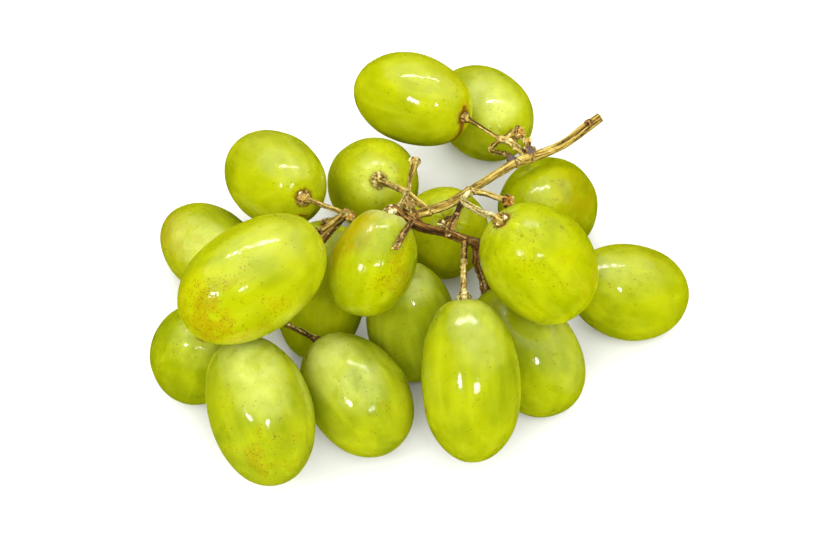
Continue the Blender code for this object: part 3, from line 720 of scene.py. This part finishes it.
# The lines carry how each shoot looks, point by point. Every shoot's grain starts at
# another height, so that no two are alike.
GRAIN_SHIFT = 31.0
lines = bpy.data.meshes.new("stem_lines")
points, edges, looks = [], [], []
for number, (path, thick, woody, pale, knobbly, plum, opened) in enumerate(routes):
    start = len(points)
    points += path
    edges += [(start + i, start + i + 1) for i in range(len(path) - 1)]
    looks += [(thick[i], woody[i], pale[i], knobbly, plum, opened[i], GRAIN_SHIFT * number)
              for i in range(len(path))]
lines.from_pydata(points, edges, [])
for column, name in enumerate(("thick", "woody", "pale", "knobbly", "plum", "opened", "offset")):
    lines.attributes.new(name, "FLOAT", "POINT").data.foreach_set(
        "value", [look[column] for look in looks])

# Round shoots along the lines, with ridges along the grain and knobs
tree, given = growth("grow_shoots", "Shoots", {
    "Geometry": ("Lines",), "Float": ("Spacing", "Ridge", "Knob"), "Int": ("Sides",),
    "Material": ("Stalk",)})
thick, offset, knobbly, along, ridge, knob = (
    node(tree, "GeometryNodeInputNamedAttribute", {"Name": name})
    for name in ("thick", "offset", "knobbly", "along", "ridge", "knob"))
turned, grain = (
    node(tree, "GeometryNodeInputNamedAttribute", {"Name": name}, data_type="FLOAT_VECTOR")
    for name in ("round", "grain"))
rail = node(tree, "GeometryNodeMeshToCurve", given["Lines"])
rail = node(tree, "GeometryNodeCurveSplineType", rail, spline_type="CATMULL_ROM")
rail = node(tree, "GeometryNodeResampleCurve", {"Curve": rail, "Length": given["Spacing"]},
            mode="LENGTH")
rail = node(tree, "GeometryNodeSetCurveNormal", rail, mode="MINIMUM_TWIST")
run = node(tree, "GeometryNodeSplineParameter").outputs["Length"]
rail = node(tree, "GeometryNodeStoreNamedAttribute", {"Geometry": rail, "Name": "along", "Value": run})
hoop = node(tree, "GeometryNodeCurvePrimitiveCircle",
            {"Resolution": given["Sides"], "Radius": 1.0}, mode="RADIUS")
hoop = node(tree, "GeometryNodeStoreNamedAttribute",
            {"Geometry": hoop, "Name": "round", "Value": node(tree, "GeometryNodeInputPosition")},
            data_type="FLOAT_VECTOR")
shoots = node(tree, "GeometryNodeCurveToMesh",
              {"Curve": rail, "Profile Curve": hoop, "Scale": thick, "Fill Caps": True})
# Grain: where a point would be if its shoot were straight, in millimetres
around = node(tree, "VectorMath SCALE", {0: turned, "Scale": thick})
along = node(tree, "Math ADD", along, offset)
along = node(tree, "CombineXYZ", {2: along})
straight = node(tree, "VectorMath ADD", around, along)
shoots = node(tree, "GeometryNodeStoreNamedAttribute",
              {"Geometry": shoots, "Name": "grain", "Value": straight}, data_type="FLOAT_VECTOR")
stretched = node(tree, "VectorMath MULTIPLY", grain, (1.0, 1.0, 0.04))
ridges = node(tree, "TexNoise", {"Vector": stretched, "Scale": 1.5, "Detail": 2.0})
knobs = node(tree, "TexNoise", {"Vector": grain, "Scale": 1.0, "Detail": 3.0, "Roughness": 0.6})
for name, value in (("ridge", ridges), ("knob", knobs)):
    shoots = node(tree, "GeometryNodeStoreNamedAttribute",
                  {"Geometry": shoots, "Name": name, "Value": value})
ridge, knob = (node(tree, "Math SUBTRACT", share, 0.5) for share in (ridge, knob))
ridge = node(tree, "Math MULTIPLY", ridge, given["Ridge"])
knob = node(tree, "Math MULTIPLY", knob, given["Knob"])
knobbly = node(tree, "Math MULTIPLY_ADD", knobbly, 2.0, 0.3)
rise = node(tree, "Math MULTIPLY_ADD", knob, knobbly, ridge)
normal = node(tree, "GeometryNodeInputNormal")
rise = node(tree, "VectorMath SCALE", {0: normal, "Scale": rise})
shoots = node(tree, "GeometryNodeSetPosition", {"Geometry": shoots, "Offset": rise})
shoots = node(tree, "GeometryNodeTransform", {"Geometry": shoots, "Scale": (MM, MM, MM)})
finished(tree, shoots, given["Stalk"])
grow_shoots = tree

# Dried stalk: matt and fibrous, straw on the ridges and brown in the furrows, a painted highlight and
# painted shade over the real grain, dark where it is woody and chalky where it is corky, with orange
# pith in the torn ends.
stalk, tree = material("dried_grape_stalk", "#A39350")
look = {name: node(tree, "Attribute", attribute_name=name).outputs["Fac"]
        for name in ("woody", "pale", "plum", "opened", "ridge", "knob")}
grain = node(tree, "Attribute", attribute_name="grain").outputs["Vector"]
stretched = node(tree, "VectorMath MULTIPLY", grain, (1.0, 1.0, 0.06))
fibre, mottle, cork = (
    node(tree, "TexNoise",
         {"Vector": vector, "Scale": scale, "Detail": detail, "Roughness": roughness})
    for vector, scale, detail, roughness in ((stretched, 3.5, 3.0, 0.6), (grain, 1.1, 5.0, 0.65),
                                             (grain, 1.6, 3.0, 0.5)))
# Tone, from furrow to ridge, which picks from a ramp of four colours for each kind of bark: painted
# shade in the furrows and a painted highlight on the ridges and knobs, mixed with the random grain of
# the fibres
tone_and_relief_shade = node(tree, "Math MULTIPLY_ADD", look["ridge"], 1.1, -0.6)
for layer, weight in ((look["knob"], 0.3), (fibre, 0.8)):
    tone_and_relief_shade = node(tree, "Math MULTIPLY_ADD", layer, weight, tone_and_relief_shade)
ramps = {}
for name, codes in (("straw", ("#3E2C0C", "#7E6420", "#A58A36", "#CDB964")),
                    ("brown", ("#2A1907", "#4A300E", "#74501C", "#A88244")),
                    ("cork", ("#6E5C28", "#A99A58", "#CFC584", "#E9E2B4"))):
    ramps[name] = node(tree, "ValToRGB", tone_and_relief_shade)
    band = ramps[name].color_ramp.elements
    band.new(0.45)
    band.new(0.54)
    for part, spot, code in zip(band, (0.36, 0.45, 0.54, 0.66), codes):
        part.position = spot
        part.color = linear(code)
woody, cork = (node(tree, "Math SUBTRACT", share, 0.5) for share in (mottle, cork))
woody = node(tree, "Math MULTIPLY_ADD", woody, 1.5, look["woody"])
woody = node(tree, "MapRange", woody, 0.3, 0.7)
cork = node(tree, "Math MULTIPLY_ADD", cork, 2.6, look["pale"])
cork = node(tree, "MapRange", cork, 0.35, 0.7)
plum = node(tree, "Math MULTIPLY_ADD", mottle, 1.2, look["plum"])
plum = node(tree, "MapRange", plum, 0.9, 1.4, 0.0, 0.85)
# A torn end shows orange pith and a healed scar is dark inside. The sawn end of the
# stalk is cream wood round its brown pith.
torn, healed, sawn = (node(tree, "MapRange", look["opened"], low, high)
                      for low, high in ((0.25, 0.8), (-0.4, -0.8), (-1.75, -1.95)))
heart = node(tree, "VectorMath MULTIPLY", grain, (1.0, 1.0, 0.0))
heart = node(tree, "VectorMath LENGTH", heart).outputs["Value"]
heart = node(tree, "MapRange", heart, 0.25, 0.6)
bruise, pith, wood = (
    node(tree, "Mix", {0: share, 6: linear(low), 7: linear(high)}, data_type="RGBA")
    for share, low, high in ((fibre, "#3E3034", "#6A645E"), (fibre, "#7A4608", "#ECAC3E"),
                             (heart, "#6E5040", "#E0D2B8")))
colour = ramps["straw"]
for share, over in ((woody, ramps["brown"]), (cork, ramps["cork"]), (plum, bruise),
                    (torn, pith), (healed, linear("#5E441C")), (sawn, wood)):
    colour = node(tree, "Mix", {0: share, 6: colour, 7: over}, data_type="RGBA")
rough = node(tree, "Math MULTIPLY_ADD", mottle, 0.6, fibre)
rough = node(tree, "Bump", {"Height": rough, "Strength": 1.0, "Distance": 0.12 * MM})
shader = node(tree, "BsdfPrincipled", {
    "Base Color": colour, "Roughness": 0.62, "Specular IOR Level": 0.2, "Normal": rough})
node(tree, "OutputMaterial", {"Surface": shader})

stem_shoots = grown("stem_shoots", grow_shoots, {
    "Spacing": 0.3, "Sides": 20, "Ridge": 0.5, "Knob": 0.5, "Stalk": stalk}, start=lines)

# The shoots fused into one closed skin, which then takes its looks back from them
tree, given = growth("carry_looks", "Dressed", {
    "Geometry": ("Stem",), "Object": ("Shoots",), "Material": ("Stalk",)})
source = node(tree, "GeometryNodeObjectInfo", {"Object": given["Shoots"]}).outputs["Geometry"]
stem = given["Stem"]
for name, kind in (("grain", "FLOAT_VECTOR"), ("woody", "FLOAT"), ("pale", "FLOAT"),
                   ("plum", "FLOAT"), ("opened", "FLOAT"), ("ridge", "FLOAT"), ("knob", "FLOAT")):
    look = node(tree, "GeometryNodeInputNamedAttribute", {"Name": name}, data_type=kind)
    look = node(tree, "GeometryNodeSampleNearestSurface", {"Mesh": source, "Value": look},
                data_type=kind)
    stem = node(tree, "GeometryNodeStoreNamedAttribute",
                {"Geometry": stem, "Name": name, "Value": look}, data_type=kind)
finished(tree, stem, given["Stalk"])
fused = placed("stem_fused", stem_shoots.data.copy())
for title, kind, settings in (
        ("fuse", "REMESH", {"mode": "VOXEL", "voxel_size": 0.16 * MM, "adaptivity": 0.0}),
        ("smooth", "SMOOTH", {"factor": 0.5, "iterations": 2}),
        ("thin", "DECIMATE", {"ratio": 0.55})):
    modifier = fused.modifiers.new(title, kind)
    for name, value in settings.items():
        setattr(modifier, name, value)
graph = bpy.context.evaluated_depsgraph_get()
skinned = bpy.data.meshes.new_from_object(fused.evaluated_get(graph), depsgraph=graph)
bpy.data.objects.remove(fused)
stem_wood = grown("stem_wood", tree, {"Shoots": stem_shoots, "Stalk": stalk}, start=skinned)
bpy.data.objects.remove(stem_shoots)
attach(stem_wood, "root")
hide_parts("stem")

# Torn fibres -----------------------------------------------------------------
# Where a berry was pulled off, the strands that fed it stay behind: a small brush of
# stiff orange-brown fibres that stands in the open cup.

# Torn fibre: dry strands, honey to dark orange along their length, with a soft sheen.
torn_fibre, tree = material("torn_stalk_fibre", "#C07A2C")
place = node(tree, "TexCoord").outputs["Object"]
tint = node(tree, "TexNoise", {"Vector": place, "Scale": 1.4 / MM, "Detail": 2.0})
tint = node(tree, "ValToRGB", tint)
for part, spot, code in zip(tint.color_ramp.elements, (0.4, 0.62), ("#9A5C0C", "#F6CE6E")):
    part.position = spot
    part.color = linear(code)
shader = node(tree, "BsdfPrincipled",
              {"Base Color": tint, "Roughness": 0.55, "Specular IOR Level": 0.2})
node(tree, "OutputMaterial", {"Surface": shader})

# Each fibre is thrown to one side of its cup, about half its width out, and leans that way
tree, given = growth("grow_fibres", "Brushes", {
    "Geometry": ("Ends",), "Int": ("Fibres",), "Float": ("Length", "Thickness"),
    "Material": ("Fibre",)})
many = node(tree, "GeometryNodeDuplicateElements",
            {"Geometry": given["Ends"], "Amount": given["Fibres"]}, domain="POINT")
out = node(tree, "GeometryNodeInputNamedAttribute", {"Name": "out"}, data_type="FLOAT_VECTOR")
wide = node(tree, "GeometryNodeInputNamedAttribute", {"Name": "wide"})
thrown = node(tree, "FunctionNodeRandomValue",
              {"Min": (-1.0, -1.0, -1.0), "Max": (1.0, 1.0, 1.0), "Seed": 3},
              data_type="FLOAT_VECTOR")
level = node(tree, "VectorMath CROSS_PRODUCT", thrown, out)
level = node(tree, "VectorMath SCALE", {0: level, "Scale": wide})
step = node(tree, "VectorMath SCALE", {0: level, "Scale": 0.55})
points = node(tree, "GeometryNodeSetPosition", {"Geometry": many, "Offset": step})
lean = node(tree, "VectorMath SCALE", {0: level, "Scale": 0.45})
lean = node(tree, "VectorMath ADD", lean, out)
turn = node(tree, "FunctionNodeAlignRotationToVector", {"Vector": lean}, axis="Z")
size = node(tree, "FunctionNodeRandomValue", {2: 0.55, 3: 1.25, "Seed": 8})
size = node(tree, "Math MULTIPLY", size, wide)
strand = node(tree, "GeometryNodeMeshCone",
              {"Vertices": 6, "Side Segments": 1, "Radius Top": 0.02,
               "Radius Bottom": given["Thickness"], "Depth": given["Length"]})
brushes = node(tree, "GeometryNodeInstanceOnPoints",
               {"Points": points, "Instance": strand, "Rotation": turn, "Scale": size})
brushes = node(tree, "GeometryNodeTransform", {"Geometry": brushes, "Scale": (MM, MM, MM)})
finished(tree, brushes, given["Fibre"])
ends = bpy.data.meshes.new("torn_ends")
ends.from_pydata([end - out * 0.3 for end, out, radius, openness in torn_ends], [], [])
ends.attributes.new("out", "FLOAT_VECTOR", "POINT").data.foreach_set(
    "vector", [value for end, out, radius, openness in torn_ends for value in out])
ends.attributes.new("wide", "FLOAT", "POINT").data.foreach_set(
    "value", [radius * openness * 0.75 for end, out, radius, openness in torn_ends])
stub_fibres = grown("stub_fibres", tree, {
    "Fibres": 18, "Length": 1.7, "Thickness": 0.17, "Fibre": torn_fibre}, start=ends)
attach(stub_fibres, "root")
